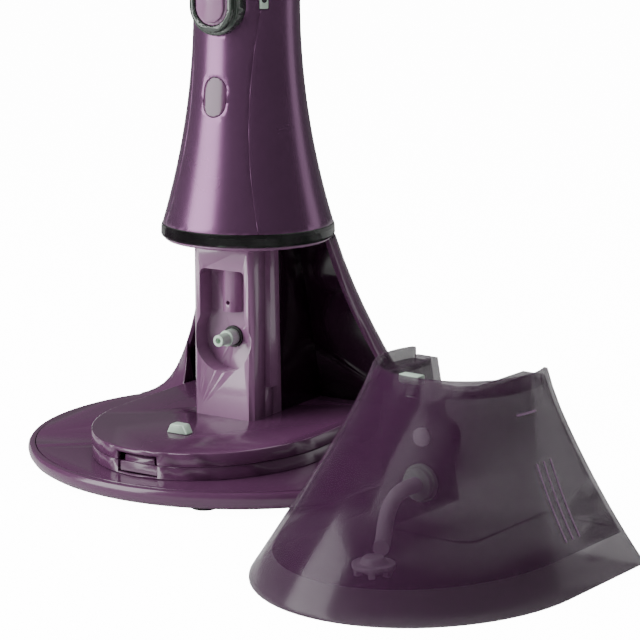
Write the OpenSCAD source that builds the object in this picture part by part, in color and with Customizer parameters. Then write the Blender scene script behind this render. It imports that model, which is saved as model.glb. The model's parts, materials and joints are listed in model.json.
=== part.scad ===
/* [Base] */
// Radius of the round base
base_r = 92.5; // [86:0.5:112]
// Distance of the base centre in front of the handle axis
base_shift = 3; // [1:0.5:5]
// Height of the base top above the floor
rim_z = 9.2; // [8:0.2:12]
// Width of the tray rim outside the seam
rim_w = 3; // [2.4:0.2:5]
// Height of the rubber feet
foot_h = 1.5; // [1:0.1:2.5]
// Radius of one rubber foot
foot_r = 6; // [4:0.5:9]
// Wall of the moulded covers
wall = 2.2; // [1.6:0.1:3]

/* [Docking bay] */
// Height of the platform top above the floor
deck_z = 20.6; // [17:0.2:26]
// Half width of the platform
deck_w = 49.8; // [40:0.2:52]
// Length of the platform's rounded nose
deck_l = 60; // [48:0.5:66]
// Distance of the nose centre in front of the axis
deck_y = 22.6; // [15:0.2:26]
// Half width of the column
column_w = 14.9; // [14.8:0.1:18]
// Distance of the column face in front of the axis
column_y = 20; // [18:0.2:24]
// Radius of the round end of the keyhole recess
keyhole_r = 14; // [11:0.1:14.4]
// Depth of the keyhole recess
keyhole_d = 8.8; // [6:0.2:11]
// Height of the water nozzle above the floor
nozzle_z = 53.9; // [48:0.1:58]
// Radius of the nozzle tip
nozzle_r = 2.5; // [2:0.1:3.2]
// Length of the nozzle
nozzle_l = 11.9; // [10:0.1:14]

/* [Rear housing] */
// Height of the flange under the handle
neck_z = 94.6; // [88:0.2:112]
// Half width of the housing under the flange
neck_w = 32.5; // [31:0.1:34]
// Extra half width where the housing meets the base
flare_w = 13; // [8:0.2:14]
// Height in which that flare fades
flare_h = 5.5; // [3:0.1:7]
// Rear bulge between the flange and the base
rear_bulge = 11; // [8:0.5:14]
// Radius of the cord gland's bore
gland_bore = 3.1; // [2.5:0.1:4]
// Wall of the cord gland
gland_wall = 2.6; // [2:0.1:3.2]
// Height of the cord gland above the floor
gland_z = 24; // [22:0.5:34]

/* [Handle and head] */
// Radius of the grip
grip_r = 22.2; // [21:0.1:25]
// Height above the floor where the grip starts to widen downwards
grip_z = 193.5; // [185:0.5:210]
// Extra radius at the foot of the handle
skirt_r = 13.8; // [11:0.1:15]
// Height of the black band
band_h = 5.6; // [4:0.1:8]
// Height of the joint between the handle and the head
head_z = 230; // [228:0.5:240]
// Height of the head
head_h = 82; // [74:0.5:96]
// Radius of the head
head_r = 35; // [32:0.5:38]
// Distance of the steam plate in front of the axis
plate_y = 21; // [19:0.5:24]

/* [Controls] */
// Width of the trigger bezel
bezel_w = 24; // [22:0.5:27]
// Travel of the steam trigger
trigger_travel = 3; // [2:0.1:3.5]
// Height of the power button above the floor
button_z = 156; // [148:0.5:166]
// Width of the power button
button_w = 10.8; // [9:0.1:13]
// Travel of the power button before its switch bottoms
button_travel = 1.2; // [0.8:0.1:1.6]
// Gap around each moving control
play = 0.25; // [0.2:0.01:0.4]

/* [Water tank] */
// Sideways gap between the base and the standing tank, negative where they pass each other
tank_gap = -8.6; // [-8.6:0.2:40]
// Place of the tank on the floor, in front of the axis
tank_y = 78.5; // [78:0.5:110]
// Turn of the tank on the floor
tank_turn = -5; // [-8:0.5:0]
// Wall of the tank
tank_wall = 2; // [1.6:0.1:2.6]
// Gap between the docked tank and the housing
dock_gap = 0.6; // [0.4:0.1:1]
// Clearance between the column's rails and the tank's channel
channel_gap = 1.3; // [1.2:0.1:3]
// Height of the tank floor above its rim
floor_h = 11.2; // [9:0.2:14]
// Half width of the tank top
tank_top_w = 32.4; // [31:0.1:32.8]
// Forward flare of the tank nose
nose_flare = 62; // [54:0.5:64]

/* [Hidden] */
$fn = 64;

purple = [0.34, 0.19, 0.32];
lilac = [0.62, 0.48, 0.62];
black = [0.08, 0.09, 0.08];
white = [0.86, 0.9, 0.86];
steel = [0.7, 0.7, 0.72];
water_purple = [0.45, 0.28, 0.44];

// The docking cut leans back from the flange to the base
cut_top_y = 12.2;
cut_lean = 0.27;
wall_set = 3;
rear_top_d = 25;
side_slope = 0.144;
side_curve = 0.0035;
shoulder_l = 30;
shoulder_drop = 3.2;
rail_w = 2.6;
band_z = neck_z + 1.4;
body_z = band_z + band_h;
tank_h = neck_z - deck_z - dock_gap;
nozzle_y = column_y - keyhole_d;
port_y = column_y + 2.4;
channel_w = column_w + rail_w + channel_gap;
levels = 14;
turns = 36;

function cut_y(z) = cut_top_y + cut_lean * (neck_z - z);
// Half width of the bell at height z, without and with the flare at its foot
function side_w(z) = neck_w + side_slope * (neck_z - z) + side_curve * pow(neck_z - z, 2);
function flare(z) = flare_w * exp(-(z - rim_z) / flare_h);
function bell_w(z) = side_w(z) + flare(z);
function rear_d(z) =
  rear_top_d + rear_bulge * sin(90 * (neck_z - z) / (neck_z - rim_z)) + 1.3 * flare(z);
// Height at which the side of the bell is w from the middle
function side_z(w) =
  neck_z - (sqrt(side_slope * side_slope + 4 * side_curve * (w - neck_w)) - side_slope) / (2 * side_curve);
function body_r(z) = grip_r + skirt_r * pow(max(0, (grip_z - z) / (grip_z - body_z)), 2);
function head_profile(u) =
  u < 0.6 ? grip_r + (head_r - grip_r) * pow(sin(150 * u), 2)
          : head_r * sqrt(max(0, 1 - pow((u - 0.6) / 0.4, 2)));

// A closed solid through rings of points that run anticlockwise from above. Point i of a ring faces
// point n - 1 - i across it, so each end is closed by a strip between the two.
module loft(rings) {
  n = len(rings[0]);
  m = len(rings);
  sides = [for (j = [0 : m - 2], i = [0 : n - 1]) let (k = (i + 1) % n)
    each [[j * n + i, (j + 1) * n + i, (j + 1) * n + k], [j * n + i, (j + 1) * n + k, j * n + k]]];
  strip = [for (i = [0 : floor(n / 2) - 1]) let (a = i, b = i + 1, c = n - 2 - i, d = n - 1 - i)
    each b == c ? [[a, b, d]] : b > c ? [] : [[a, b, c], [a, c, d]]];
  last = (m - 1) * n;
  top = [for (f = strip) [last + f[0], last + f[2], last + f[1]]];
  polyhedron(points = [for (ring = rings) each ring], faces = concat(strip, sides, top));
}

// A round body from a list of [radius, height] points
module turned(points) {
  rotate_extrude() polygon(points);
}

// A plate with round ends that stands up in the XZ plane and is thick along Y
module upright_pill(w, h, y0, y1) {
  translate([0, y0, 0]) rotate([-90, 0, 0]) linear_extrude(y1 - y0) {
    square([w, h - w], center = true);
    translate([0, (h - w) / 2]) circle(d = w);
    translate([0, -(h - w) / 2]) circle(d = w);
  }
}

module along_y(r, y0, y1) {
  translate([0, y0, 0]) rotate([-90, 0, 0]) cylinder(r = r, h = y1 - y0);
}

// Outline of the platform, from its left end around the nose to its right end
function deck_outline(inset, back) = concat(
  [[-(deck_w - inset), back]],
  [for (i = [0 : turns]) let (a = 180 + 180 * i / turns)
    [(deck_w - inset) * cos(a), -deck_y + (deck_l - inset) * sin(a)]],
  [[deck_w - inset, back]]
);

// ---------------------------------------------------------------- base

screw_r = 1.9;

module screw_places() {
  for (a = [45 : 90 : 315]) {
    rotate([0, 0, a]) translate([0.62 * base_r, 0, 0]) children();
  }
}

module base_tray() {
  color(purple) translate([0, -base_shift, 0]) difference() {
    turned([
      [0, foot_h], [base_r - 5, foot_h], [base_r - 2.2, foot_h + 1], [base_r - 0.5, foot_h + 3.4],
      [base_r, rim_z - 2.4], [base_r - 0.4, rim_z - 0.9], [base_r - 1.4, rim_z - 0.1],
      [base_r - rim_w, rim_z - 0.1], [base_r - rim_w, foot_h + wall], [0, foot_h + wall]
    ]);
    screw_places() cylinder(r = screw_r + 0.1, h = rim_z);
  }
}

module shoulder() {
  // Concave fillet between the base top and the front edge of the housing, beside the platform
  columns = 16;
  rows = 10;
  under = rim_z - 1;
  z_top = side_z(deck_w + 1.2);
  function edge_z(i) = rim_z + (z_top - rim_z) * pow(1 - i / columns, 1.6);
  function sx(i) = bell_w(edge_z(i)) - (i == columns ? 0.4 : 0);
  function top_pt(i, j) = let (
    s = j / rows, z = rim_z + (edge_z(i) - rim_z) * pow(1 - s, shoulder_drop)
  ) [sx(i), cut_y(z) - shoulder_l * s, z];
  n = rows + 1;
  top = [for (i = [0 : columns], j = [0 : rows]) top_pt(i, j)];
  low = [for (i = [0 : columns], j = [0 : rows])
    [sx(i), j == 0 ? cut_y(under) : top_pt(i, j)[1], under]];
  count = len(top);
  function id(i, j) = i * n + j;
  quads = [for (i = [0 : columns - 1], j = [0 : rows - 1]) let (
    a = id(i, j), b = id(i + 1, j), c = id(i + 1, j + 1), d = id(i, j + 1)
  ) each [[a, b, c], [a, c, d], [count + a, count + c, count + b], [count + a, count + d, count + c]]];
  ends = [for (j = [0 : rows - 1]) let (a = id(0, j), b = id(0, j + 1), c = id(columns, j), d = id(columns, j + 1))
    each [[a, b, count + b], [a, count + b, count + a], [c, count + d, d], [c, count + c, count + d]]];
  edges = [for (i = [0 : columns - 1]) let (a = id(i, 0), b = id(i + 1, 0), c = id(i, rows), d = id(i + 1, rows))
    each [[a, count + b, b], [a, count + a, count + b], [c, d, count + d], [c, count + d, count + c]]];
  polyhedron(points = concat(top, low), faces = concat(quads, ends, edges));
}

module base_cover() {
  color(purple) {
    translate([0, -base_shift, 0]) difference() {
      translate([0, 0, rim_z - wall]) cylinder(r = base_r - rim_w - 0.4, h = wall);
      translate([0, base_shift - 10, 0]) cylinder(r = deck_w - 12, h = rim_z + 1);
    }
    intersection() {
      for (side = [0, 1]) {
        mirror([side, 0, 0]) shoulder();
      }
      translate([0, -base_shift, 0]) cylinder(r = base_r - rim_w - 0.4, h = neck_z);
    }
  }
}

module rubber_feet() {
  // Four feet near the rim and one under the handle
  color(black) {
    for (a = [-68, -112, 35, 145]) {
      translate([0, -base_shift, 0]) rotate([0, 0, a]) translate([base_r - 2 * foot_r, 0, 0]) {
        cylinder(r1 = foot_r - 0.4, r2 = foot_r, h = foot_h);
      }
    }
    cylinder(r1 = foot_r - 0.4, r2 = foot_r, h = foot_h);
  }
}

module base_screws() {
  color(steel) translate([0, -base_shift, foot_h]) {
    screw_places() cylinder(r = screw_r, h = rim_z - wall - foot_h);
  }
}

// ---------------------------------------------------------------- docking bay

latch_w = 19;
drain_r = 6;
nose_tip = deck_y + deck_l;
split_z = rim_z + 5.6;

module latch_window() {
  // Opening in the tip of the nose for the tank catch
  translate([-latch_w / 2, -nose_tip - 1, rim_z + 0.8]) {
    cube([latch_w, 12, deck_z - rim_z - wall - 0.8]);
  }
}

module platform_ring(inset, z0, z1) {
  back = cut_y(deck_z) + wall_set - 0.4;
  translate([0, 0, z0]) linear_extrude(z1 - z0) difference() {
    polygon(deck_outline(inset, back));
    polygon(deck_outline(wall + 0.4, back - wall));
  }
}

module platform_skirt() {
  color(purple) difference() {
    platform_ring(0.35, rim_z, split_z);
    latch_window();
  }
}

module platform_deck() {
  color(purple) difference() {
    union() {
      platform_ring(0, split_z, deck_z - wall);
      translate([0, 0, deck_z - wall]) linear_extrude(wall) {
        polygon(deck_outline(0, cut_y(deck_z) + wall_set - 0.4));
      }
    }
    latch_window();
    translate([0, -nozzle_y + 14, 0]) cylinder(r = drain_r, h = deck_z + 1);
  }
}

module tank_latch() {
  // Catch set back in its window, with a ridge that the tank hooks over
  w = latch_w - 2 * play;
  set_back = 2.4;
  bar_h = 4.2;
  color(purple) translate([-w / 2, -nose_tip + set_back, rim_z + 0.8 + play]) {
    cube([w, 8, bar_h]);
    translate([2, 0.8, bar_h]) cube([w - 4, 5, 2.6]);
  }
}

module locating_nub() {
  h = 4;
  foot_w = 5.2;
  top_w = 3.2;
  length = 5;
  ahead = 28.7;
  color(white) translate([0, -deck_y - ahead, deck_z]) rotate([90, 0, 0]) {
    translate([0, 0, -length / 2]) linear_extrude(length) {
      polygon([[-foot_w, 0], [foot_w, 0], [top_w, h], [-top_w, h]]);
    }
  }
}

module keyhole(y0, y1) {
  // Slot with round top corners that widens in a soft shoulder to the round end
  slot_w = 11.1;
  corner = 2.4;
  rise = neck_z - 11 - nozzle_z;
  shoulder_r = 8;
  reach = slot_w + shoulder_r;
  lift = sqrt(pow(keyhole_r + shoulder_r, 2) - reach * reach);
  touch = keyhole_r / (keyhole_r + shoulder_r);
  translate([0, y0, nozzle_z]) rotate([90, 0, 0]) translate([0, 0, y0 - y1]) linear_extrude(y1 - y0) {
    circle(r = keyhole_r);
    translate([-slot_w, 0]) square([2 * slot_w, rise - corner]);
    translate([-slot_w + corner, 0]) square([2 * (slot_w - corner), rise]);
    for (side = [-1, 1]) {
      translate([side * (slot_w - corner), rise - corner]) circle(r = corner);
    }
    difference() {
      polygon([
        [-slot_w, lift], [-reach * touch, lift * touch], [reach * touch, lift * touch], [slot_w, lift]
      ]);
      for (side = [-1, 1]) {
        translate([side * reach, lift]) circle(r = shoulder_r);
      }
    }
  }
}

module column_side(y0, offset_y, z0, z1) {
  // Side view of the column, from its face to the leaning wall behind it
  rotate([90, 0, 90]) linear_extrude(4 * column_w, center = true) polygon([
    [y0, z0], [cut_y(z0) + offset_y, z0], [cut_y(z1) + offset_y, z1], [y0, z1]
  ]);
}

module dock_column() {
  c = 1.8;
  floor_y = -nozzle_y;
  color(lilac) difference() {
    intersection() {
      translate([0, 0, deck_z]) linear_extrude(neck_z - deck_z) {
        polygon([
          [-column_w, 60], [-column_w, -column_y + c], [-column_w + c, -column_y],
          [column_w - c, -column_y], [column_w, -column_y + c], [column_w, 60]
        ]);
        translate([-column_w - rail_w, -10]) square([2 * column_w + 2 * rail_w, 6]);
      }
      column_side(-column_y - 1, wall_set, deck_z, neck_z);
    }
    for (side = [-1, 1]) {
      translate([side * (column_w + 2), -7, deck_z - 1]) cube([4 - 0.01, 8, 28], center = true);
    }
    difference() {
      keyhole(-column_y - 1, floor_y);
      translate([0, floor_y, nozzle_z + 11]) cylinder(r = 4.5, h = neck_z);
    }
    translate([0, floor_y - 5, nozzle_z + 15]) rotate([-90, 0, 0]) cylinder(r = 0.9, h = 3);
    translate([-column_w + wall, floor_y + wall, deck_z - 1]) {
      cube([2 * column_w - 2 * wall, 60, neck_z - deck_z + 2]);
    }
    translate([0, 0, nozzle_z]) along_y(3, floor_y - 1, 0);
  }
}

module dock_wall() {
  clearance = 0.3;
  deep = wall_set + wall;
  function half_w(z) =
    (bell_w(z) - wall) * sqrt(1 - pow(deep / (rear_d(z) - wall), 2)) - clearance;
  function section(z) = let (y = cut_y(z) + wall_set, w = half_w(z)) [
    [-w, y, z], [w, y, z], [w, y + wall, z], [-w, y + wall, z]
  ];
  color(purple) difference() {
    loft([for (i = [0 : levels]) section(rim_z + (neck_z - rim_z) * pow(i / levels, 2))]);
    translate([0, 0, nozzle_z]) along_y(6, 0, 60);
  }
}

module rear_housing() {
  function arc(z, inset, a0, a1) = [for (i = [0 : turns]) let (a = a0 + (a1 - a0) * i / turns)
    [(bell_w(z) - inset) * cos(a), cut_y(z) + (rear_d(z) - inset) * sin(a), z]];
  function section(z) = concat(arc(z, 0, 0, 180), arc(z, wall, 180, 0));
  color(purple) difference() {
    intersection() {
      loft([for (i = [0 : levels]) section(rim_z + (neck_z - rim_z) * pow(i / levels, 2))]);
      translate([0, -base_shift, 0]) cylinder(r = base_r - 0.6, h = neck_z + 1);
    }
    translate([0, 0, gland_z]) {
      along_y(gland_r + 0.1, gland_y - 12, gland_y + gland_l);
      along_y(gland_r + gland_lip + 0.1, gland_y + 2.5, gland_y + gland_l);
    }
  }
}

gland_y = cut_y(gland_z) + rear_d(gland_z);
gland_r = gland_bore + gland_wall;
gland_lip = 1.3;
gland_l = 24;

module cord_gland() {
  // Collar in the housing wall with a tapered sleeve behind it
  flange = 2.4;
  in_wall = 8;
  sleeve = gland_l - in_wall - 5;
  color(black) translate([0, 0, gland_z]) difference() {
    union() {
      along_y(gland_r, gland_y - in_wall, gland_y + 5 - flange);
      along_y(gland_r + gland_lip, gland_y + 5 - flange, gland_y + 5);
      translate([0, gland_y + 5, 0]) rotate([-90, 0, 0]) {
        cylinder(r1 = gland_r - 0.1, r2 = gland_r - 1.1, h = sleeve);
      }
    }
    along_y(gland_bore, gland_y - in_wall - 1, gland_y + gland_l);
  }
}

module water_nozzle() {
  color(white) translate([0, 0, nozzle_z]) difference() {
    union() {
      along_y(2.9, -nozzle_y, -nozzle_y + 8);
      along_y(3.4, -nozzle_y - 6, -nozzle_y);
      along_y(nozzle_r, -nozzle_y - nozzle_l, -nozzle_y - 6);
    }
    along_y(1.2, -nozzle_y - nozzle_l - 1, -nozzle_y + 9);
  }
}

module nozzle_seal() {
  color(black) translate([0, -nozzle_y, nozzle_z]) rotate([90, 0, 0]) {
    difference() {
      cylinder(r = 4.6, h = 0.9);
      translate([0, 0, -1]) cylinder(r = 3.42, h = 3);
    }
  }
}

// ---------------------------------------------------------------- handle

module flange_plate() {
  color(lilac) difference() {
    turned([
      [0, neck_z], [body_r(body_z) - 1.6, neck_z], [body_r(body_z) - 0.6, neck_z + 0.7],
      [body_r(body_z) - 0.6, band_z], [0, band_z]
    ]);
    translate([0, neck_tube_y, neck_z - 1]) cylinder(r = 4, h = 4);
  }
}

module trim_band() {
  r = body_r(body_z);
  color(black) turned([
    [r - 3, band_z], [r - 0.1, band_z], [r + 0.7, band_z + 1], [r + 0.6, band_z + band_h * 0.7],
    [r, body_z], [r - 3, body_z]
  ]);
}

module handle_tube(inset, z0, z1, steps = 22) {
  // Solid body of the handle, drawn in by inset
  turned(concat(
    [[0, z0]],
    [for (i = [0 : steps]) let (z = z0 + (z1 - z0) * i / steps) [body_r(z) - inset, z]],
    [[0, z1]]
  ));
}

module handle_shell() {
  difference() {
    handle_tube(0, body_z, head_z);
    handle_tube(wall, body_z - 0.01, head_z + 0.01);
  }
}

module seam_front(gap) {
  // Space in front of the leaning seam plane
  seam_y = 27.6;
  seam_lean = 8;
  translate([0, -seam_y - gap, body_z]) rotate([-seam_lean, 0, 0]) {
    translate([-60, -60, -30]) cube([120, 60, 300]);
  }
}

bezel_h = 46;
bezel_z = grip_z - 12.5 + bezel_h / 2;
bezel_y = grip_r + 4.6;
button_h = 16;

module bezel_hole(grow) {
  translate([0, 0, bezel_z]) upright_pill(bezel_w + grow, bezel_h + grow, -grip_r - 12, -8);
}

slider_a = 52;
slider_z = grip_z + 3;
slider_w = 3.6;
slider_h = 9;
slider_travel = 5;

module slider_place() {
  rotate([0, 0, -90 + slider_a]) translate([0, 0, slider_z]) children();
}

module slider_slot() {
  slider_place() translate([grip_r - 4, -slider_w / 2 - play, -slider_h / 2 - play]) {
    cube([10, slider_w + 2 * play, slider_h + slider_travel + 2 * play]);
  }
}

cover_screw_z = [body_z + 14, head_z - 14];

module handle_front_cover() {
  color(purple) difference() {
    intersection() {
      handle_shell();
      seam_front(0);
    }
    bezel_hole(0.1);
    slider_slot();
    translate([0, 0, button_z]) upright_pill(button_w + 2 * play, button_h + 2 * play, -40, -8);
  }
}

module handle_rear_cover() {
  color(purple) difference() {
    handle_shell();
    seam_front(-0.15);
    slider_slot();
    for (z = cover_screw_z) {
      translate([0, 0, z]) along_y(screw_r + 0.2, 15, 60);
    }
    bezel_hole(0.1);
  }
}

module lock_slider() {
  color(white) slider_place() {
    intersection() {
      translate([grip_r - 4.6, -slider_w / 2, -slider_h / 2]) cube([6, slider_w, slider_h]);
      translate([0, 0, -20]) cylinder(r = grip_r + 0.5, h = 40);
    }
    translate([grip_r - 5.6, -slider_w, -slider_h / 2 - 1]) cube([1.6, 2 * slider_w, slider_h + 2]);
  }
}

module cover_screws() {
  color(steel) for (z = cover_screw_z) {
    translate([0, 0, z]) along_y(screw_r, body_r(z) - 10, body_r(z) - 1);
  }
}

module trigger_bezel() {
  step = 1.6;
  color(black) translate([0, 0, bezel_z]) difference() {
    union() {
      upright_pill(bezel_w, bezel_h, -bezel_y + 2.4, -grip_r + 6);
      upright_pill(bezel_w - 2 * step, bezel_h - 2 * step, -bezel_y, -bezel_y + 2.4);
    }
    upright_pill(bezel_w - 8, bezel_h - 8, -bezel_y - 1, -8);
  }
}

trigger_back = -bezel_y + 8;
button_back = -body_r(button_z) + 4.5;
board_y = -8;
switch_rest = 0.4;

module steam_trigger() {
  w = bezel_w - 8 - 2 * play;
  h = bezel_h - 8 - 2 * play;
  color(lilac) translate([0, 0, bezel_z]) {
    upright_pill(w, h, -bezel_y + 0.8, trigger_back);
    upright_pill(w - 2.4, h - 2.4, -bezel_y - 0.6, -bezel_y + 0.8);
  }
}

module power_button() {
  color(purple) intersection() {
    handle_tube(0, button_z - 12, button_z + 12, 4);
    translate([0, 0, button_z]) upright_pill(button_w, button_h, -40, button_back);
  }
}

module circuit_board() {
  // Board with the push switch that stands behind the power button
  color([0.1, 0.35, 0.2]) {
    translate([-12, board_y, button_z - 26]) cube([24, 1.6, 58]);
    translate([0, 0, button_z]) along_y(3, button_back + button_travel + switch_rest, board_y + 0.1);
  }
}

module trigger_switch() {
  // Switch box and the plunger that the trigger meets at the end of its travel
  box_y = -11;
  tip_y = trigger_back + trigger_travel + switch_rest;
  color(black) translate([0, 0, bezel_z]) {
    translate([-5, box_y, -10]) cube([10, 7, 20]);
    translate([-2, tip_y, -3]) cube([4, box_y - tip_y + 0.1, 6]);
  }
}

// ---------------------------------------------------------------- water path

neck_tube_y = 26;
grip_tube_y = 8;
pump_r = 7.6;
pump_z = 30;
pump_h = 28;
pump_gap = 0.4;
pump_y = cut_y(pump_z) + wall_set + wall + pump_r + pump_gap;
// The riser bends forward between the pump's spigot and the neck
spigot_z = pump_z + pump_h + 4;
bend_l = pump_y - neck_tube_y;
bend_z0 = spigot_z + 0.6 * (neck_z - 15 - bend_l - spigot_z);
bend_z1 = bend_z0 + bend_l;

module pump() {
  color(steel) translate([0, pump_y, 0]) {
    translate([0, 0, pump_z]) cylinder(r = pump_r, h = pump_h);
    translate([0, 0, pump_z + pump_h]) cylinder(r = 4, h = bend_z0 - pump_z - pump_h);
  }
}

module pump_bracket() {
  // Foot, shelf and two cheeks that hold the pump
  cheek = 2.6;
  color(black) translate([0, pump_y, 0]) {
    difference() {
      translate([-pump_r - cheek, -2, rim_z]) cube([2 * (pump_r + cheek), 9, pump_z + 12 - rim_z]);
      translate([-pump_r - 0.05, -20, pump_z]) cube([2 * pump_r + 0.1, 40, 40]);
      translate([-pump_r, -20, rim_z + 3]) cube([2 * pump_r, 40, pump_z - rim_z - 5.5]);
    }
    translate([-20, -2, rim_z]) cube([40, 14, 2.4]);
  }
}

module bend(r_bend, r_tube, sweep) {
  rotate_extrude(angle = sweep) translate([r_bend, 0]) circle(r = r_tube, $fn = 24);
}

module suction_tube() {
  // From the back of the nozzle to the side inlet of the pump foot
  tube = 2.6;
  end_y = -nozzle_y + 8;
  color(white) {
    translate([0, 0, nozzle_z]) along_y(tube, end_y, pump_y - pump_r - 0.05);
  }
}

module s_bend(shift, r_tube) {
  // Two quarter bends that move a rising tube towards the front by shift
  b = shift / 2;
  rotate([0, -90, 0]) rotate([0, 0, -90]) translate([b, 0, 0]) rotate([0, 0, 90]) bend(b, r_tube, 90);
  translate([0, -shift, shift]) rotate([0, -90, 0]) rotate([0, 0, -90]) {
    translate([-b, 0, 0]) rotate([0, 0, -90]) bend(b, r_tube, 90);
  }
}

module riser_tube() {
  // From the pump up through the neck and the grip to the boiler
  tube = 2.6;
  z2 = band_z + 5;
  z3 = z2 + neck_tube_y - grip_tube_y;
  color(white) {
    translate([0, pump_y, bend_z0]) s_bend(bend_l, tube);
    translate([0, neck_tube_y, bend_z1]) cylinder(r = tube, h = z2 - bend_z1);
    translate([0, neck_tube_y, z2]) s_bend(neck_tube_y - grip_tube_y, tube);
    translate([0, grip_tube_y, z3]) cylinder(r = tube, h = plate_z - 8 - z3);
  }
}

// ---------------------------------------------------------------- head

module head_solid(inset) {
  steps = 30;
  top = head_h - inset;
  turned(concat(
    [[0, head_z]],
    [for (i = [0 : steps]) let (u = i / steps) [max(0, head_profile(u) - (u < 0.98 ? inset : 0)),
      head_z + top * u]],
    [[0, head_z + top]]
  ));
}

plate_lean = 6;
plate_z = head_z + head_h * 0.56;

module plate_place() {
  translate([0, 0, plate_z]) rotate([-plate_lean, 0, 0]) children();
}

module plate_slab(y0, y1) {
  plate_place() translate([-60, y0, -80]) cube([120, y1 - y0, 160]);
}

bezel_back = 11;

module head_shell() {
  color(purple) difference() {
    head_solid(0);
    head_solid(wall);
    plate_slab(-90, -plate_y + bezel_back);
  }
}

module head_bezel() {
  color(black) difference() {
    intersection() {
      head_solid(0);
      plate_slab(-plate_y, -plate_y + bezel_back - 0.15);
    }
    intersection() {
      head_solid(wall + 1.4);
      plate_slab(-60, 60);
    }
  }
}

module plate_outline(inset, y0, y1) {
  intersection() {
    head_solid(wall + 1.4 + inset);
    plate_slab(y0, y1);
    plate_place() upright_pill(46, 70, -60, 60);
  }
}

module steam_plate() {
  color(steel) difference() {
    plate_outline(0.8, -plate_y - 0.8, -plate_y + 2.4);
    plate_place() for (i = [-2 : 2]) {
      for (j = [-1, 1]) {
        translate([i * 7, 0, j * (19 - abs(i) * 3)]) along_y(1.3, -60, 0);
      }
    }
  }
}

module plate_seal() {
  color(black) difference() {
    plate_outline(0.1, -plate_y + 2.4, -plate_y + 4.4);
    plate_outline(3, -plate_y, -plate_y + 8);
  }
}

module boiler_block() {
  color(steel) plate_place() {
    difference() {
      upright_pill(34, 52, -plate_y + 4.6, -plate_y + 18);
      upright_pill(28, 46, -plate_y + 4, -plate_y + 9);
    }
  }
}

module heating_element() {
  // U-shaped sheathed heater on the back of the boiler
  r = 3.2;
  y = -plate_y + 18 + r;
  color(steel) plate_place() translate([0, y, 0]) {
    for (side = [-1, 1]) {
      translate([side * 9, 0, -16]) cylinder(r = r, h = 26);
    }
    translate([0, 0, 10]) rotate([90, 0, 0]) bend(9, r, 180);
  }
}

module thermostat() {
  color(black) plate_place() translate([0, 0, -2]) {
    along_y(5, -plate_y + 18, -plate_y + 24);
  }
}

module thermal_fuse() {
  color(white) plate_place() translate([-8, -plate_y + 20, -23]) rotate([0, 90, 0]) {
    cylinder(r = 2, h = 16);
  }
}

// ---------------------------------------------------------------- water tank

function tank_share(h) = h / tank_h;
function tank_w(h) = side_w(deck_z + h) - dock_gap;
function nose_c(h) = -21 * (1 - tank_share(h));
function nose_y(h) =
  -tank_top_w - nose_flare * sin(90 * pow((tank_h - h) / (tank_h + 11.6), 1.15));
function side_x(h, w, y) =
  w * sqrt(1 - pow((y - nose_c(h)) * pow(tank_share(h), 3) / tank_top_w, 2));
function back_y(h) = cut_y(deck_z + h) - dock_gap;
side_steps = 4;

// Points of the tank wall at height h, drawn in by inset, from left end to right end
function tank_line(h, inset) = let (
  w = tank_w(h) - inset,
  c = nose_c(h), l = c - nose_y(h) - inset, b = back_y(h)
) concat(
  [for (i = [0 : side_steps - 1]) let (y = b + (c - b) * i / side_steps) [-side_x(h, w, y), y, h]],
  [for (i = [0 : turns]) let (a = 180 + 180 * i / turns) [w * cos(a), c + l * sin(a), h]],
  [for (i = [side_steps - 1 : -1 : 0]) let (y = b + (c - b) * i / side_steps) [side_x(h, w, y), y, h]]
);
function reversed(v) = [for (i = [len(v) - 1 : -1 : 0]) v[i]];

module tank_place() {
  translate([base_r + tank_gap + tank_w(0), -tank_y, 0]) rotate([0, 0, tank_turn]) children();
}

module tank_shell() {
  heights = concat(
    [0, 1],
    [for (i = [1 : levels]) 1 + (tank_h - 1) * pow(i / levels, 1.5)]
  );
  function ring(h) = let (edge = h == 0 ? 0.8 : 0)
    concat(tank_line(h, edge), reversed(tank_line(h, tank_wall)));
  color(water_purple) tank_place() loft([for (h = heights) ring(h)]);
}

// Back of the tank: two wings along the docking cut and the channel around the column, whose inner
// corners are cut off so that they stay inside the round wall
channel_corner = 5;
function corner_cut(t) = channel_corner - (sqrt(2) - 1) * t;
function back_path(h, t, end_gap) = let (
  b = back_y(h) - t, x = side_x(h, tank_w(h) - tank_wall, back_y(h)) - end_gap,
  w = channel_w + t, p = port_y + t, c = corner_cut(t)
) [
  [-x, b, h], [-w, b, h], [-w, -p + c, h], [-w + c, -p, h],
  [w - c, -p, h], [w, -p + c, h], [w, b, h], [x, b, h]
];

module tank_back() {
  top = tank_h - 3;
  rows = 8;
  heights = [for (i = [0 : rows]) floor_h + 2 + (top - floor_h - 2) * pow(i / rows, 1.3)];
  color(water_purple) tank_place() difference() {
    loft([for (h = heights) concat(back_path(h, tank_wall, 0.35), reversed(back_path(h, 0, 0.35)))]);
    translate([0, 0, nozzle_z - deck_z]) along_y(6.05, -port_y - 10, -port_y + 4);
    translate([0, 0, nozzle_z - deck_z + 17]) along_y(2, -port_y - 10, -port_y + 4);
  }
}

// A plate that fills the tank between its wall and its back
module tank_plate(h, thick, inset, margin) {
  difference() {
    loft([tank_line(h, tank_wall + inset), tank_line(h + thick, tank_wall + inset)]);
    translate([0, 0, h - 1]) linear_extrude(thick + 2) {
      let (w = channel_w + margin, p = port_y + margin, c = corner_cut(margin)) polygon([
        [-w, 80], [-w, -p + c], [-w + c, -p], [w - c, -p], [w, -p + c], [w, 80]
      ]);
    }
  }
}

module tank_floor() {
  color(water_purple) tank_place() tank_plate(floor_h, 1.9, 0.3, 0);
}

top_h = tank_h - 6;
top_t = 1.8;
filler_x = -3;
filler_y = (-tank_top_w + tank_wall - port_y - tank_wall) / 2;
plug_r = 2.1;

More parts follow.
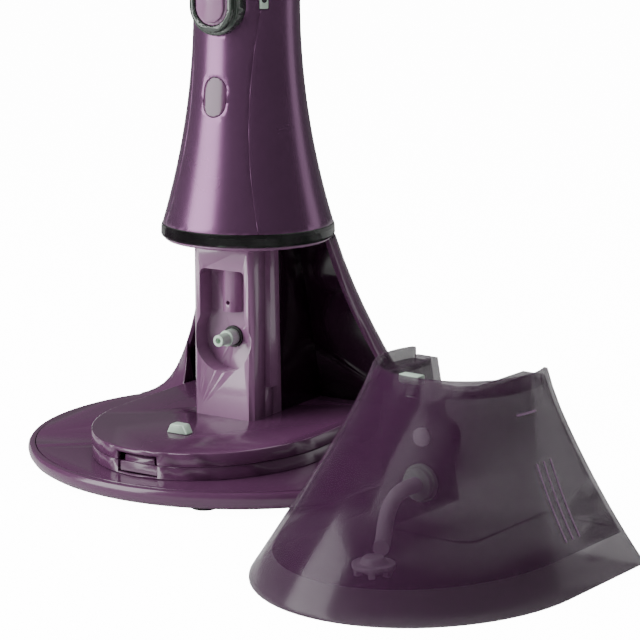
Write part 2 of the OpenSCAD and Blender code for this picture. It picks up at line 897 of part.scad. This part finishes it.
module tank_top() {
  // Deck a little below the rim, with a lozenge-shaped land round the filler hole
  land_w = 2.8;
  color(water_purple) tank_place() difference() {
    union() {
      tank_plate(top_h, top_t, 0.4, tank_wall + 0.05);
      translate([filler_x, filler_y, top_h + top_t - 0.1]) linear_extrude(1.1) {
        polygon([[-9, 0], [-6, -land_w], [6, -land_w], [9, 0], [6, land_w], [-6, land_w]]);
      }
    }
    translate([filler_x, filler_y, top_h - 1]) cylinder(r = plug_r + 0.1, h = 8);
    translate([-100, back_y(top_h + top_t) - tank_wall - 0.4, top_h - 1]) cube([200, 20, 8]);
  }
}

stub_r = 2;

module port_bush() {
  color(white) tank_place() translate([0, 0, nozzle_z - deck_z]) difference() {
    union() {
      along_y(6, -port_y - 6, -port_y + 0.4);
      along_y(7, -port_y - tank_wall - 2, -port_y - tank_wall - 0.05);
      along_y(stub_r, -port_y - 11, -port_y - 6);
    }
    along_y(nozzle_r + 0.05, -port_y - 5, -port_y + 1);
    along_y(1.2, -port_y - 15, -port_y);
    along_y(4, -port_y - 1.2, -port_y + 1);
  }
}

module port_seal() {
  color(black) tank_place() translate([0, 0, nozzle_z - deck_z]) difference() {
    along_y(3.98, -port_y - 1.18, -port_y);
    along_y(nozzle_r + 0.1, -port_y - 5, -port_y + 1);
  }
}

module vent_disc() {
  color(lilac) tank_place() translate([0, 0, nozzle_z - deck_z + 17]) {
    along_y(3.4, -port_y - tank_wall - 1.6, -port_y - tank_wall - 0.05);
    along_y(1.9, -port_y - tank_wall - 0.06, -port_y - 0.2);
  }
}

hose_r = 2.9;
sinker_x = 12;
sinker_y = -71;

module pickup_hose() {
  // Route of the hose from the port bush forwards and down to the sinker
  s = [0, -port_y - 6.1, nozzle_z - deck_z];
  route = [
    s, s + [0, -4, 0], s + [0, -8, -0.2], s + [-0.3, -12, -1.6], s + [-0.4, -15.4, -4.2],
    s + [0, -18, -7.6], s + [1, -20.6, -10.8], s + [3, -24, -13], s + [6, -29, -14],
    s + [9, -34, -13.8]
  ];
  sides = 12;
  last = len(route) - 1;
  function unit(v) = v / norm(v);
  function heading(k) = unit(route[min(k + 1, last)] - route[max(k - 1, 0)]);
  function across(k) = unit(cross(heading(k), [1, 0, 0]));
  function circle_at(k) = let (u = across(k), v = cross(heading(k), u))
    [for (i = [0 : sides - 1]) let (a = 360 * i / sides) route[k] + hose_r * (cos(a) * u + sin(a) * v)];
  color(lilac) tank_place() difference() {
    loft([for (k = [0 : last]) circle_at(k)]);
    translate(s) along_y(stub_r + 0.05, -5.1, 1);
  }
}

module sinker_filter() {
  // Weighted filter at the end of the hose, on six legs
  h0 = floor_h + 1.95;
  color(lilac) tank_place() translate([sinker_x, sinker_y, h0]) {
    for (a = [0 : 60 : 300]) {
      rotate([0, 0, a]) translate([4.6, -1.1, 0]) cube([2.4, 2.2, 2.6]);
    }
    translate([0, 0, 2.4]) cylinder(r = 7.6, h = 1.4);
    translate([0, 0, 0.6]) cylinder(r = 4, h = 2);
    translate([0, 0, 3.7]) cylinder(r1 = 5, r2 = 3.6, h = 2.4);
  }
}

module filler_stopper() {
  // Pale grip tab on a plug that closes the filler hole
  z0 = top_h + top_t + 1.05;
  color(white) tank_place() translate([filler_x, filler_y, z0]) {
    translate([0, 0, -5]) cylinder(r = plug_r, h = 5.01);
    translate([-4.4, -2.2, 0]) cube([8.8, 4.4, 3.2]);
  }
}

base_tray();
base_cover();
rubber_feet();
base_screws();
platform_skirt();
platform_deck();
locating_nub();
dock_column();
dock_wall();
rear_housing();
cord_gland();
flange_plate();
trim_band();
handle_front_cover();
handle_rear_cover();
trigger_bezel();
water_nozzle();
nozzle_seal();
pump();
pump_bracket();
suction_tube();
riser_tube();
circuit_board();
trigger_switch();
head_shell();
head_bezel();
steam_plate();
plate_seal();
boiler_block();
heating_element();
thermostat();
thermal_fuse();
cover_screws();
steam_trigger();
power_button();
lock_slider();
tank_latch();
tank_shell();
tank_back();
tank_floor();
tank_top();
port_bush();
port_seal();
vent_disc();
pickup_hose();
sinker_filter();
filler_stopper();
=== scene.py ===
"""An upright garment steamer on its docking base, with its see-through water tank beside it."""
import json
import math

import bpy
from mathutils import Matrix, Vector

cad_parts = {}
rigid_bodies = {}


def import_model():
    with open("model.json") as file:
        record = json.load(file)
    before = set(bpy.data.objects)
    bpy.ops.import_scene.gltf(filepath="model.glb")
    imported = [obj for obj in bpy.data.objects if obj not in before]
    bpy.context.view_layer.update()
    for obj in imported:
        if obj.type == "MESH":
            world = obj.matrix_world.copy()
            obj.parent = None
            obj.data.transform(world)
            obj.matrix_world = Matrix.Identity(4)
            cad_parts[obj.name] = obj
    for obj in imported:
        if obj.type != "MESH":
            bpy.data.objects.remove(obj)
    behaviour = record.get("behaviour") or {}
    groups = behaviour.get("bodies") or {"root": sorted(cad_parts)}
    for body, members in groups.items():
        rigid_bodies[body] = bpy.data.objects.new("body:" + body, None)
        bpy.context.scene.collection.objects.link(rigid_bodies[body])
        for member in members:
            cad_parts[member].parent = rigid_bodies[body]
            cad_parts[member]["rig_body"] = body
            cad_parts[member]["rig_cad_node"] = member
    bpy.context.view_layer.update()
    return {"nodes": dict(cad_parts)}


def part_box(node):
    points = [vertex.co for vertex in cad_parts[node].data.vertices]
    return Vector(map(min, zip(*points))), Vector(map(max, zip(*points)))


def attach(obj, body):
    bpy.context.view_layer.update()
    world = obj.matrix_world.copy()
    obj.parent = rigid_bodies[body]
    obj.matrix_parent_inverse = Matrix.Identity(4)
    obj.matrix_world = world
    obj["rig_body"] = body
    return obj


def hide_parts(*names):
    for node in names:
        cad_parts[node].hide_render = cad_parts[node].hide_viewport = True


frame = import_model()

# The view: a long lens a metre away, standing to the right of the front.
# It looks down a little, so that the docking bay and the tank's deck both show.
camera_data = bpy.data.cameras.new("view")
camera_data.lens = 136.45
camera = bpy.data.objects.new("view", camera_data)
camera.location = (0.5600, -0.8390, 0.2706)
view_line = Vector((-0.51863, 0.82992, -0.20557))
camera.rotation_euler = view_line.to_track_quat("-Z", "Y").to_euler()
bpy.context.collection.objects.link(camera)
bpy.context.scene.camera = camera

# The table: a plain white sheet that runs out of the picture on all sides.
# It glows to the eye like a lit backdrop, and is a plain matt white to everything else.
bpy.ops.object.select_all(action="DESELECT")
bpy.ops.mesh.primitive_plane_add(size=12, location=(0, 0, -0.0002))
table = bpy.context.object
table.name = "table"
table_white = bpy.data.materials.new("table_white")
table_white.use_nodes = True
table_nodes = table_white.node_tree.nodes
table_link = table_white.node_tree.links.new
table_shader = table_nodes["Principled BSDF"]
table_shader.inputs["Base Color"].default_value = (0.9, 0.9, 0.9, 1)
table_shader.inputs["Roughness"].default_value = 0.9
table_shader.inputs["Specular IOR Level"].default_value = 0.1
table_shader.inputs["Emission Color"].default_value = (1, 1, 1, 1)
seen = table_nodes.new("ShaderNodeLightPath")
bare_eye = table_nodes.new("ShaderNodeMath")
bare_eye.operation = "SUBTRACT"
bare_eye.use_clamp = True
table_link(seen.outputs["Is Camera Ray"], bare_eye.inputs[0])
table_link(seen.outputs["Transparent Depth"], bare_eye.inputs[1])
backdrop_glow = 14.0
glow = table_nodes.new("ShaderNodeMath")
glow.operation = "MULTIPLY"
glow.inputs[1].default_value = backdrop_glow
table_link(bare_eye.outputs["Value"], glow.inputs[0])
table_link(glow.outputs["Value"], table_shader.inputs["Emission Strength"])
table.data.materials.append(table_white)

# The studio: white to the eye, and dim elsewhere so that the gloss keeps its dark bands.
# What is seen through clear plastic has only the dim light, as the table has.
room_light = 0.16
world = bpy.data.worlds.new("studio")
bpy.context.scene.world = world
world.use_nodes = True
sky = world.node_tree.nodes
sky_link = world.node_tree.links.new
sky["Background"].inputs["Color"].default_value = (1, 1, 1, 1)
ray = sky.new("ShaderNodeLightPath")
to_eye = sky.new("ShaderNodeMath")
to_eye.operation = "MULTIPLY_ADD"
to_eye.inputs[1].default_value = backdrop_glow
to_eye.inputs[2].default_value = room_light
bare_sky = sky.new("ShaderNodeMath")
bare_sky.operation = "SUBTRACT"
bare_sky.use_clamp = True
sky_link(ray.outputs["Is Camera Ray"], bare_sky.inputs[0])
sky_link(ray.outputs["Transparent Depth"], bare_sky.inputs[1])
sky_link(bare_sky.outputs["Value"], to_eye.inputs[0])
sky_link(to_eye.outputs["Value"], sky["Background"].inputs["Strength"])


def soft_box(name, place, aim, width, height, watts):
    """A rectangular lamp that looks from its place to what it is aimed at."""
    data = bpy.data.lights.new(name, "AREA")
    data.shape = "RECTANGLE"
    data.size = width
    data.size_y = height
    data.energy = watts
    light = bpy.data.objects.new(name, data)
    light.location = place
    light.rotation_euler = (Vector(aim) - Vector(place)).to_track_quat("-Z", "Y").to_euler()
    bpy.context.collection.objects.link(light)


# A broad box on the left lights most of the fronts, a narrow one behind on the right draws the
# light edge there, and one overhead lifts the base and the tank.
soft_box("left_box", (-0.66, -0.86, 0.45), (0, 0, 0.15), 0.8, 1.2, 22)
soft_box("right_edge_box", (0.74, 0.81, 0.35), (0, 0, 0.15), 0.35, 1.2, 1.6)
soft_box("overhead_box", (0.1, -0.2, 1.3), (0.05, -0.03, 0.1), 0.9, 0.9, 9)


# The base tray is a round dish of purple ABS. It is injection moulded in one shot, with a rolled
# rim that hides the edge of the cover, and it stands on five rubber feet.
def deselect():
    bpy.ops.object.select_all(action="DESELECT")


def build_moulded_surface():
    """Faint cloudiness of the colour, patches of handling haze and the slight waviness of a mould."""
    group = bpy.data.node_groups.new("moulded_surface", "ShaderNodeTree")
    faces = group.interface
    faces.new_socket("Color", in_out="INPUT", socket_type="NodeSocketColor")
    faces.new_socket("Roughness", in_out="INPUT", socket_type="NodeSocketFloat")
    faces.new_socket("Ripple", in_out="INPUT", socket_type="NodeSocketFloat")
    faces.new_socket("Haze", in_out="INPUT", socket_type="NodeSocketFloat")
    faces.new_socket("Color", in_out="OUTPUT", socket_type="NodeSocketColor")
    faces.new_socket("Roughness", in_out="OUTPUT", socket_type="NodeSocketFloat")
    faces.new_socket("Normal", in_out="OUTPUT", socket_type="NodeSocketVector")
    add, link = group.nodes.new, group.links.new
    enter, leave = add("NodeGroupInput"), add("NodeGroupOutput")
    place = add("ShaderNodeTexCoord")

    cloud = add("ShaderNodeTexNoise")
    cloud.inputs["Scale"].default_value = 38
    cloud.inputs["Detail"].default_value = 4
    link(place.outputs["Object"], cloud.inputs["Vector"])
    tint = add("ShaderNodeMixRGB")
    tint.blend_type = "OVERLAY"
    tint.inputs["Fac"].default_value = 0.1
    link(enter.outputs["Color"], tint.inputs["Color1"])
    link(cloud.outputs["Fac"], tint.inputs["Color2"])

    smear = add("ShaderNodeTexNoise")
    smear.inputs["Scale"].default_value = 16
    smear.inputs["Detail"].default_value = 7
    smear.inputs["Distortion"].default_value = 1.2
    link(place.outputs["Object"], smear.inputs["Vector"])
    spread = add("ShaderNodeMapRange")
    spread.inputs["From Min"].default_value = 0.45
    spread.inputs["From Max"].default_value = 0.75
    link(smear.outputs["Fac"], spread.inputs["Value"])
    hazed = add("ShaderNodeMath")
    hazed.operation = "MULTIPLY_ADD"
    link(spread.outputs["Result"], hazed.inputs[0])
    link(enter.outputs["Haze"], hazed.inputs[1])
    link(enter.outputs["Roughness"], hazed.inputs[2])

    wave = add("ShaderNodeTexNoise")
    wave.inputs["Scale"].default_value = 150
    wave.inputs["Detail"].default_value = 2
    link(place.outputs["Object"], wave.inputs["Vector"])
    bump = add("ShaderNodeBump")
    bump.inputs["Distance"].default_value = 0.0002
    link(enter.outputs["Ripple"], bump.inputs["Strength"])
    link(wave.outputs["Fac"], bump.inputs["Height"])

    link(tint.outputs["Color"], leave.inputs["Color"])
    link(hazed.outputs["Value"], leave.inputs["Roughness"])
    link(bump.outputs["Normal"], leave.inputs["Normal"])
    return group


MOULDED = build_moulded_surface()


def moulded(name, color, roughness, ripple=0.05, haze=0.05):
    """A material whose colour, roughness and normal come from the moulded surface group."""
    made = bpy.data.materials.new(name)
    made.use_nodes = True
    shader = made.node_tree.nodes["Principled BSDF"]
    surface = made.node_tree.nodes.new("ShaderNodeGroup")
    surface.node_tree = MOULDED
    surface.inputs["Color"].default_value = (*color, 1)
    surface.inputs["Roughness"].default_value = roughness
    surface.inputs["Ripple"].default_value = ripple
    surface.inputs["Haze"].default_value = haze
    link = made.node_tree.links.new
    link(surface.outputs["Color"], shader.inputs["Base Color"])
    link(surface.outputs["Roughness"], shader.inputs["Roughness"])
    link(surface.outputs["Normal"], shader.inputs["Normal"])
    return made, shader


purple_abs, shader = moulded("purple_abs", (0.1, 0.035, 0.088), 0.2)
shader.inputs["Coat Weight"].default_value = 0.2
shader.inputs["Coat Roughness"].default_value = 0.06


def turned(name, rings, sides=128):
    """A ring at the first [radius, height], extruded up through the others like clay on a wheel."""
    deselect()
    radius, height = rings[0]
    bpy.ops.mesh.primitive_circle_add(vertices=sides, radius=radius, location=(0, 0, height))
    piece = bpy.context.object
    piece.name = name
    bpy.ops.object.mode_set(mode="EDIT")
    bpy.ops.mesh.select_all(action="SELECT")
    for r, z in rings[1:]:
        bpy.ops.mesh.extrude_region_move(TRANSFORM_OT_translate={"value": (0, 0, z - height)})
        bpy.ops.transform.resize(value=(r / radius, r / radius, 1), center_override=(0, 0, z))
        radius, height = r, z
    bpy.ops.object.mode_set(mode="OBJECT")
    bpy.ops.object.transform_apply(location=True, rotation=True, scale=True)
    return piece


def close_up(piece):
    """Joins rings that meet, closes what is still open and turns the faces out."""
    bpy.ops.object.mode_set(mode="EDIT")
    bpy.ops.mesh.select_all(action="SELECT")
    bpy.ops.mesh.remove_doubles(threshold=1e-6)
    bpy.ops.mesh.select_non_manifold()
    bpy.ops.mesh.edge_face_add()
    bpy.ops.mesh.select_all(action="SELECT")
    bpy.ops.mesh.normals_make_consistent(inside=False)
    bpy.ops.object.mode_set(mode="OBJECT")


def finish(piece, material, body, slot, *nodes, edge=0.0003, angle=35):
    """Breaks the sharp edges, smooths the rest, and puts the piece on its body in its finish."""
    deselect()
    piece.select_set(True)
    bpy.context.view_layer.objects.active = piece
    if edge:
        broken = piece.modifiers.new("broken_edge", "BEVEL")
        broken.width = edge
        broken.segments = 2
        broken.limit_method = "ANGLE"
        broken.angle_limit = math.radians(angle)
        broken.harden_normals = True
        bpy.ops.object.modifier_apply(modifier=broken.name)
    bpy.ops.object.shade_smooth_by_angle(angle=math.radians(angle))
    piece.data.materials.clear()
    piece.data.materials.append(material)
    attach(piece, body)
    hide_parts(*nodes)


tray_low, tray_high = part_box("base_tray")
tray_r = (tray_high.x - tray_low.x) / 2
tray_y = (tray_high.y + tray_low.y) / 2
tray_rim = 0.003
tray_middle = 0.004
tray_floor = tray_low.z + 0.0022
tray = turned("tray", [
    (tray_middle, tray_low.z), (tray_r - 0.0055, tray_low.z), (tray_r - 0.0035, tray_low.z + 0.0004),
    (tray_r - 0.0016, tray_low.z + 0.0016), (tray_r - 0.0004, tray_low.z + 0.0034),
    (tray_r, tray_high.z - 0.0024), (tray_r - 0.0002, tray_high.z - 0.0012),
    (tray_r - 0.0008, tray_high.z - 0.0003), (tray_r - 0.0016, tray_high.z),
    (tray_r - tray_rim, tray_high.z - 0.0001), (tray_r - tray_rim, tray_floor),
    (tray_middle, tray_floor),
])
close_up(tray)
tray.location.y = tray_y
bpy.ops.object.transform_apply(location=True, rotation=False, scale=False)
finish(tray, purple_abs, "body", "purple_gloss", "base_tray", edge=0, angle=30)


# The cover closes the tray and sweeps up beside the bay into the housing. It is moulded in the
# same purple ABS, and four steel screws run up to it through the floor of the tray.
def mould_copy(node, name):
    """The node's shape as a piece of its own, with its loose triangles joined into faces."""
    deselect()
    piece = frame["nodes"][node].copy()
    piece.data = frame["nodes"][node].data.copy()
    piece.name = name
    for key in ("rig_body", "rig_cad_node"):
        if key in piece:
            del piece[key]
    piece.parent = None
    piece.matrix_world = Matrix.Identity(4)
    bpy.context.collection.objects.link(piece)
    piece.select_set(True)
    bpy.context.view_layer.objects.active = piece
    bpy.ops.object.mode_set(mode="EDIT")
    bpy.ops.mesh.select_all(action="SELECT")
    bpy.ops.mesh.remove_doubles(threshold=1e-6)
    bpy.ops.mesh.dissolve_limited(angle_limit=math.radians(0.6))
    bpy.ops.object.mode_set(mode="OBJECT")
    return piece


finish(mould_copy("base_cover", "cover"), purple_abs, "body", "purple_gloss", "base_cover", edge=0.0002)

plain_steel, shader = moulded("plain_steel", (0.56, 0.56, 0.58), 0.3)
shader.inputs["Metallic"].default_value = 1
finish(mould_copy("base_screws", "tray_screws"), plain_steel, "body", "steel", "base_screws")

# The feet are black rubber discs pushed into the tray. Four stand near the rim and one under the
# handle, and each has a shallow dish in its face so that it grips.
rubber, _ = moulded("rubber", (0.014, 0.014, 0.014), 0.6, ripple=0.5)
foot_r = 0.006
foot_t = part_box("rubber_feet")[1].z
foot_ring = tray_r - 2 * foot_r
foot = turned("foot_on_axis", [
    (0.0005, 0.0002), (foot_r * 0.5, 0.0002), (foot_r * 0.62, 0), (foot_r - 0.0009, 0),
    (foot_r - 0.0004, 0.0003), (foot_r, foot_t), (0.0005, foot_t),
], sides=48)
close_up(foot)
feet = [foot]
for turn in (-68, -112, 35, 145):
    a = math.radians(turn)
    deselect()
    foot.select_set(True)
    bpy.context.view_layer.objects.active = foot
    bpy.ops.object.duplicate()
    more = bpy.context.object
    more.name = "foot_at_%d" % (turn % 360)
    more.location = (foot_ring * math.cos(a), tray_y + foot_ring * math.sin(a), 0)
    bpy.ops.object.transform_apply(location=True, rotation=False, scale=False)
    feet.append(more)
for each in feet:
    finish(each, rubber, "body", "rubber_black", "rubber_feet", edge=0)

# The platform is a skirt and a deck in purple ABS, clipped together with a fine seam between them.
# The pale peg in the deck is where the tank settles, and the catch in the nose holds it there.
finish(mould_copy("platform_skirt", "platform_skirt_moulding"), purple_abs, "body", "purple_gloss",
       "platform_skirt", edge=0.0004)
finish(mould_copy("platform_deck", "platform_deck_moulding"), purple_abs, "body", "purple_gloss",
       "platform_deck", edge=0.0006)
pale_nylon, shader = moulded("pale_nylon", (0.55, 0.70, 0.58), 0.35)
shader.inputs["Subsurface Weight"].default_value = 0.1
shader.inputs["Subsurface Radius"].default_value = (0.004, 0.004, 0.004)
finish(mould_copy("locating_nub", "deck_peg"), pale_nylon, "body", "white_matte", "locating_nub",
       edge=0.0007)
finish(mould_copy("tank_latch", "tank_catch"), purple_abs, "latch", "purple_gloss", "tank_latch")

# The column guides the tank and holds the nozzle. It is moulded in a lighter lilac ABS, with a
# keyhole recess for the tank's port and a rail down each side. Behind the rails its flanks are
# given the wall's near-black purple as painted shade, for the shadow that falls on them there.
lilac_abs, shader = moulded("lilac_abs", (0.27, 0.13, 0.245), 0.2)
shader.inputs["Coat Weight"].default_value = 0.4
shader.inputs["Coat Roughness"].default_value = 0.05
# A near-black purple: the wall's own colour, and painted shade where it is put on the column's flanks.
wall_purple_and_painted_shade, _ = moulded("wall_purple_and_painted_shade_abs", (0.016, 0.003, 0.013), 0.14)
column = mould_copy("dock_column", "column")
# Faces behind this leaning plane are the flanks that get the painted shade.
painted_shade_y = 0.003
painted_shade_lean = 0.03
bpy.ops.object.mode_set(mode="EDIT")
bpy.ops.mesh.select_all(action="SELECT")
bpy.ops.mesh.bisect(plane_co=(0, painted_shade_y, 0), plane_no=(0, 1, painted_shade_lean))
bpy.ops.object.mode_set(mode="OBJECT")
finish(column, lilac_abs, "body", "lilac_gloss", "dock_column", edge=0.0004)
column.data.materials.append(wall_purple_and_painted_shade)
# The flank faces get the near-black purple as painted shade, not as a colour of the lilac moulding.
for face in column.data.polygons:
    if face.center.y + painted_shade_lean * face.center.z > painted_shade_y:
        face.material_index = 1

# The housing is the bell behind the bay, closed in front by a leaning wall. Both are ABS, the wall
# a deeper purple, and it is let into the housing with a fine gap all round.
finish(mould_copy("rear_housing", "housing"), purple_abs, "body", "purple_gloss", "rear_housing",
       edge=0.0005)
finish(mould_copy("dock_wall", "bay_wall"), wall_purple_and_painted_shade, "body", "purple_gloss", "dock_wall")

# The gland is a rubber sleeve in the back of the housing, where the mains cord enters.
# Its neck sits in the housing wall, with a lip outside. The cord itself isn't made.
finish(mould_copy("cord_gland", "gland"), rubber, "body", "rubber_black", "cord_gland")

# The nozzle is turned in pale nylon and pressed into the column, with a rubber ring behind its
# shoulder. Water from the tank passes through it to the pump.
finish(mould_copy("water_nozzle", "nozzle"), pale_nylon, "body", "white_matte", "water_nozzle",
       edge=0.0002)
finish(mould_copy("nozzle_seal", "nozzle_ring"), rubber, "body", "rubber_black", "nozzle_seal",
       edge=0.0001)

# The pump sits in a black bracket behind the wall. White tubes run from the nozzle to the pump
# and from the pump up the handle to the boiler.
black_abs, _ = moulded("black_abs_matt", (0.02, 0.02, 0.022), 0.5, ripple=0.3)
finish(mould_copy("pump", "pump_body"), plain_steel, "body", "steel", "pump")
finish(mould_copy("pump_bracket", "pump_holder"), black_abs, "body", "black_matte", "pump_bracket")
for node, name in (("suction_tube", "tube_to_pump"), ("riser_tube", "tube_to_boiler")):
    finish(mould_copy(node, name), pale_nylon, "body", "white_matte", node, edge=0)

# The flange is the lilac plate that closes the foot of the handle, and the band above it is a
# glossy black ring, turned here as one piece with rounded edges.
band_low, band_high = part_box("trim_band")
band_r = (band_high.x - band_low.x) / 2
band_t = band_high.z - band_low.z
band_w = 0.0037
band_inner = band_r - band_w
band = turned("black_band", [
    (band_inner, band_low.z), (band_r - 0.0009, band_low.z), (band_r - 0.0003, band_low.z + 0.0004),
    (band_r, band_low.z + 0.0011), (band_r - 0.0001, band_low.z + band_t * 0.7),
    (band_r - 0.0004, band_high.z - 0.0004), (band_r - 0.0009, band_high.z),
    (band_inner, band_high.z), (band_inner, band_low.z),
])
close_up(band)
black_gloss, shader = moulded("black_gloss", (0.022, 0.034, 0.025), 0.2)
shader.inputs["Coat Weight"].default_value = 0.5
finish(band, black_gloss, "body", "black_gloss", "trim_band", edge=0)
finish(mould_copy("flange_plate", "flange"), lilac_abs, "body", "lilac_gloss", "flange_plate")

# The handle is two covers in pearl purple that meet on a leaning seam, with a screw top and bottom
# at the back. The front cover has the openings for the bezel and the button.
handle_purple, shader = moulded("handle_purple", (0.16, 0.068, 0.15), 0.25, ripple=0)
shader.inputs["Metallic"].default_value = 0.7
shader.inputs["Coat Weight"].default_value = 0.1
shader.inputs["Coat Roughness"].default_value = 0.1
finish(mould_copy("handle_front_cover", "front_cover"), handle_purple, "body", "purple_gloss",
       "handle_front_cover", edge=0.00025)
finish(mould_copy("handle_rear_cover", "rear_cover"), handle_purple, "body", "purple_gloss",
       "handle_rear_cover", edge=0.00025)
finish(mould_copy("cover_screws", "handle_screws"), plain_steel, "body", "steel", "cover_screws")

# The board and the trigger's switch stand inside the grip. The board is green lacquered glass
# fibre, and the switch is a black box with a plunger. What holds them isn't made.
green_board, _ = moulded("lacquered_board", (0.01, 0.12, 0.04), 0.35)
finish(mould_copy("circuit_board", "board"), green_board, "body", "board_green", "circuit_board")
finish(mould_copy("trigger_switch", "switch_box"), black_abs, "body", "black_matte", "trigger_switch")

# The power button is a pill of plain purple ABS that lies flush in the front cover. It is pushed
# straight in and meets the switch on the board behind it.
button = mould_copy("power_button", "button")
finish(button, purple_abs, "button", "purple_gloss", "power_button", edge=0.0003)

# The slider locks the trigger for steady steam. It is a pale nylon thumb piece in a slot beside
# the bezel, with a small black dot low on its face.
slider = mould_copy("lock_slider", "slider")
finish(slider, pale_nylon, "slider", "white_matte", "lock_slider", edge=0.0003)

mark_r = 0.0011
mark_t = 0.0006
mark_sunk = 0.0002
mark_up = 0.0045
slider_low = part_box("lock_slider")[0]
slider_turn = math.radians(-38)
slider_face = 0.0227
deselect()
bpy.ops.mesh.primitive_cylinder_add(
    vertices=32, radius=mark_r, depth=mark_t, rotation=(0, math.pi / 2, 0),
    location=(slider_face - mark_sunk, 0, slider_low.z + mark_up))
mark = bpy.context.object
mark.name = "slider_mark"
bpy.ops.object.transform_apply(location=True, rotation=True, scale=True)
mark.rotation_euler.z = slider_turn
bpy.ops.object.transform_apply(location=False, rotation=True, scale=False)
finish(mark, black_abs, "slider", "black_matte", edge=0.0001)

# The bezel is a glossy black surround with a raised inner step. The lilac trigger is pulled
# straight in through it by the forefinger.
bezel = mould_copy("trigger_bezel", "bezel")
finish(bezel, black_gloss, "body", "black_gloss", "trigger_bezel", edge=0.0005)
trigger = mould_copy("steam_trigger", "trigger")
finish(trigger, lilac_abs, "trigger", "lilac_gloss", "steam_trigger", edge=0.0005)

# The head is a purple dome on the grip, closed in front by a glossy black surround.
# The steam plate sits in the surround.
finish(mould_copy("head_shell", "head_dome"), purple_abs, "body", "purple_gloss", "head_shell")
finish(mould_copy("head_bezel", "head_surround"), black_gloss, "body", "black_gloss", "head_bezel")

# The steam plate is pressed aluminium with two rows of holes, on a rubber seal.
# Steam leaves through the holes, and the plate smooths the cloth.
satin_aluminium, shader = moulded("satin_aluminium", (0.78, 0.78, 0.8), 0.34, ripple=0.2)
shader.inputs["Metallic"].default_value = 1
finish(mould_copy("steam_plate", "plate"), satin_aluminium, "body", "aluminium", "steam_plate")
finish(mould_copy("plate_seal", "plate_ring"), rubber, "body", "rubber_black", "plate_seal", edge=0)

# Behind the plate is the boiler, a cast aluminium block with a U-shaped heater on its back.
# A thermostat and a thermal fuse guard it against overheating.
finish(mould_copy("boiler_block", "boiler"), satin_aluminium, "body", "aluminium", "boiler_block")
finish(mould_copy("heating_element", "heater"), plain_steel, "body", "steel", "heating_element",
       edge=0)
finish(mould_copy("thermostat", "thermostat_can"), black_abs, "body", "black_matte", "thermostat")
finish(mould_copy("thermal_fuse", "fuse"), pale_nylon, "body", "white_matte", "thermal_fuse")

# The tank is four pieces of clear tinted plastic, two millimetres thick, welded together: the
# flared wall, the back that passes the column, the floor and the deck.
tinted, shader = moulded("tinted_tank", (0.055, 0.014, 0.05), 0.16, ripple=0, haze=0.04)
shader.inputs["Alpha"].default_value = 0.5
shader.inputs["Specular IOR Level"].default_value = 0.35
for node, name in (("tank_shell", "tank_wall"), ("tank_back", "tank_rear"),
                   ("tank_floor", "tank_bottom"), ("tank_top", "tank_deck")):
    finish(mould_copy(node, name), tinted, "tank", "tank_clear", node, edge=0.0004)

# Three upright ridges on the tank's right side and a short level one above them show how much
# water is left and how far to fill. They are a paler shade and stand a little proud of the wall.
tank_home = Vector((0.1456, -0.0785, 0))
tank_turn = math.radians(-5)
ridge_w = 0.0007
ridge_proud = 0.0003
ridge_first = -0.006
ridge_step = 0.0045
ridge_z = 0.030
ridge_h = 0.027
fill_y = -0.004
fill_z = 0.061
fill_w = 0.010
outside_x = 0.09
ridge_plastic, _ = moulded("ridge_plastic", (0.26, 0.15, 0.26), 0.4)


def wall_ridge(name, ahead, height, width, rise):
    """A strip beside the tank, wrapped onto its right side and thickened."""
    deselect()
    bpy.ops.mesh.primitive_plane_add(
        size=1, location=(outside_x, ahead, height), rotation=(0, math.pi / 2, 0))
    strip = bpy.context.object
    strip.name = name
    strip.scale = (rise, width, 1)
    bpy.ops.object.transform_apply(location=True, rotation=True, scale=True)
    strip.rotation_euler.z = tank_turn
    strip.location = tank_home
    bpy.ops.object.transform_apply(location=True, rotation=True, scale=True)
    bpy.ops.object.mode_set(mode="EDIT")
    bpy.ops.mesh.select_all(action="SELECT")
    bpy.ops.mesh.subdivide(number_cuts=15)
    bpy.ops.object.mode_set(mode="OBJECT")
    wrap = strip.modifiers.new("wrap", "SHRINKWRAP")
    wrap.target = bpy.data.objects["tank_wall"]
    wrap.wrap_method = "PROJECT"
    wrap.use_project_x = True
    wrap.use_negative_direction = True
    wrap.use_positive_direction = False
    wrap.offset = ridge_proud / 2
    bpy.ops.object.modifier_apply(modifier=wrap.name)
    thick = strip.modifiers.new("thick", "SOLIDIFY")
    thick.thickness = ridge_proud
    thick.offset = 0
    bpy.ops.object.modifier_apply(modifier=thick.name)
    finish(strip, ridge_plastic, "tank", "lilac_matte", edge=0)


for i in range(3):
    wall_ridge("level_ridge_%d" % (i + 1), ridge_first + ridge_step * i, ridge_z, ridge_w, ridge_h)
wall_ridge("fill_ridge", fill_y, fill_z, fill_w, ridge_w)

# The port is a pale bush with a rubber seal, pressed into the tank's back, and the lilac disc
# above it closes the air vent.
soft_lilac, _ = moulded("soft_lilac", (0.82, 0.68, 0.82), 0.42, ripple=0.2)
finish(mould_copy("port_bush", "port"), pale_nylon, "tank", "white_matte", "port_bush")
finish(mould_copy("port_seal", "port_ring"), rubber, "tank", "rubber_black", "port_seal", edge=0)
finish(mould_copy("vent_disc", "vent"), soft_lilac, "tank", "lilac_matte", "vent_disc")

# The pickup hose is soft lilac rubber. It hangs from the port and is pulled to the bottom by a
# weighted filter that stands on six small legs.
finish(mould_copy("pickup_hose", "hose"), soft_lilac, "tank", "lilac_matte", "pickup_hose", edge=0)
finish(mould_copy("sinker_filter", "sinker"), soft_lilac, "tank", "lilac_matte", "sinker_filter")

# The stopper is a pale soft plug with a tab to pull, in the filler hole of the deck.
finish(mould_copy("filler_stopper", "stopper"), pale_nylon, "stopper", "white_matte", "filler_stopper",
       edge=0.0005)
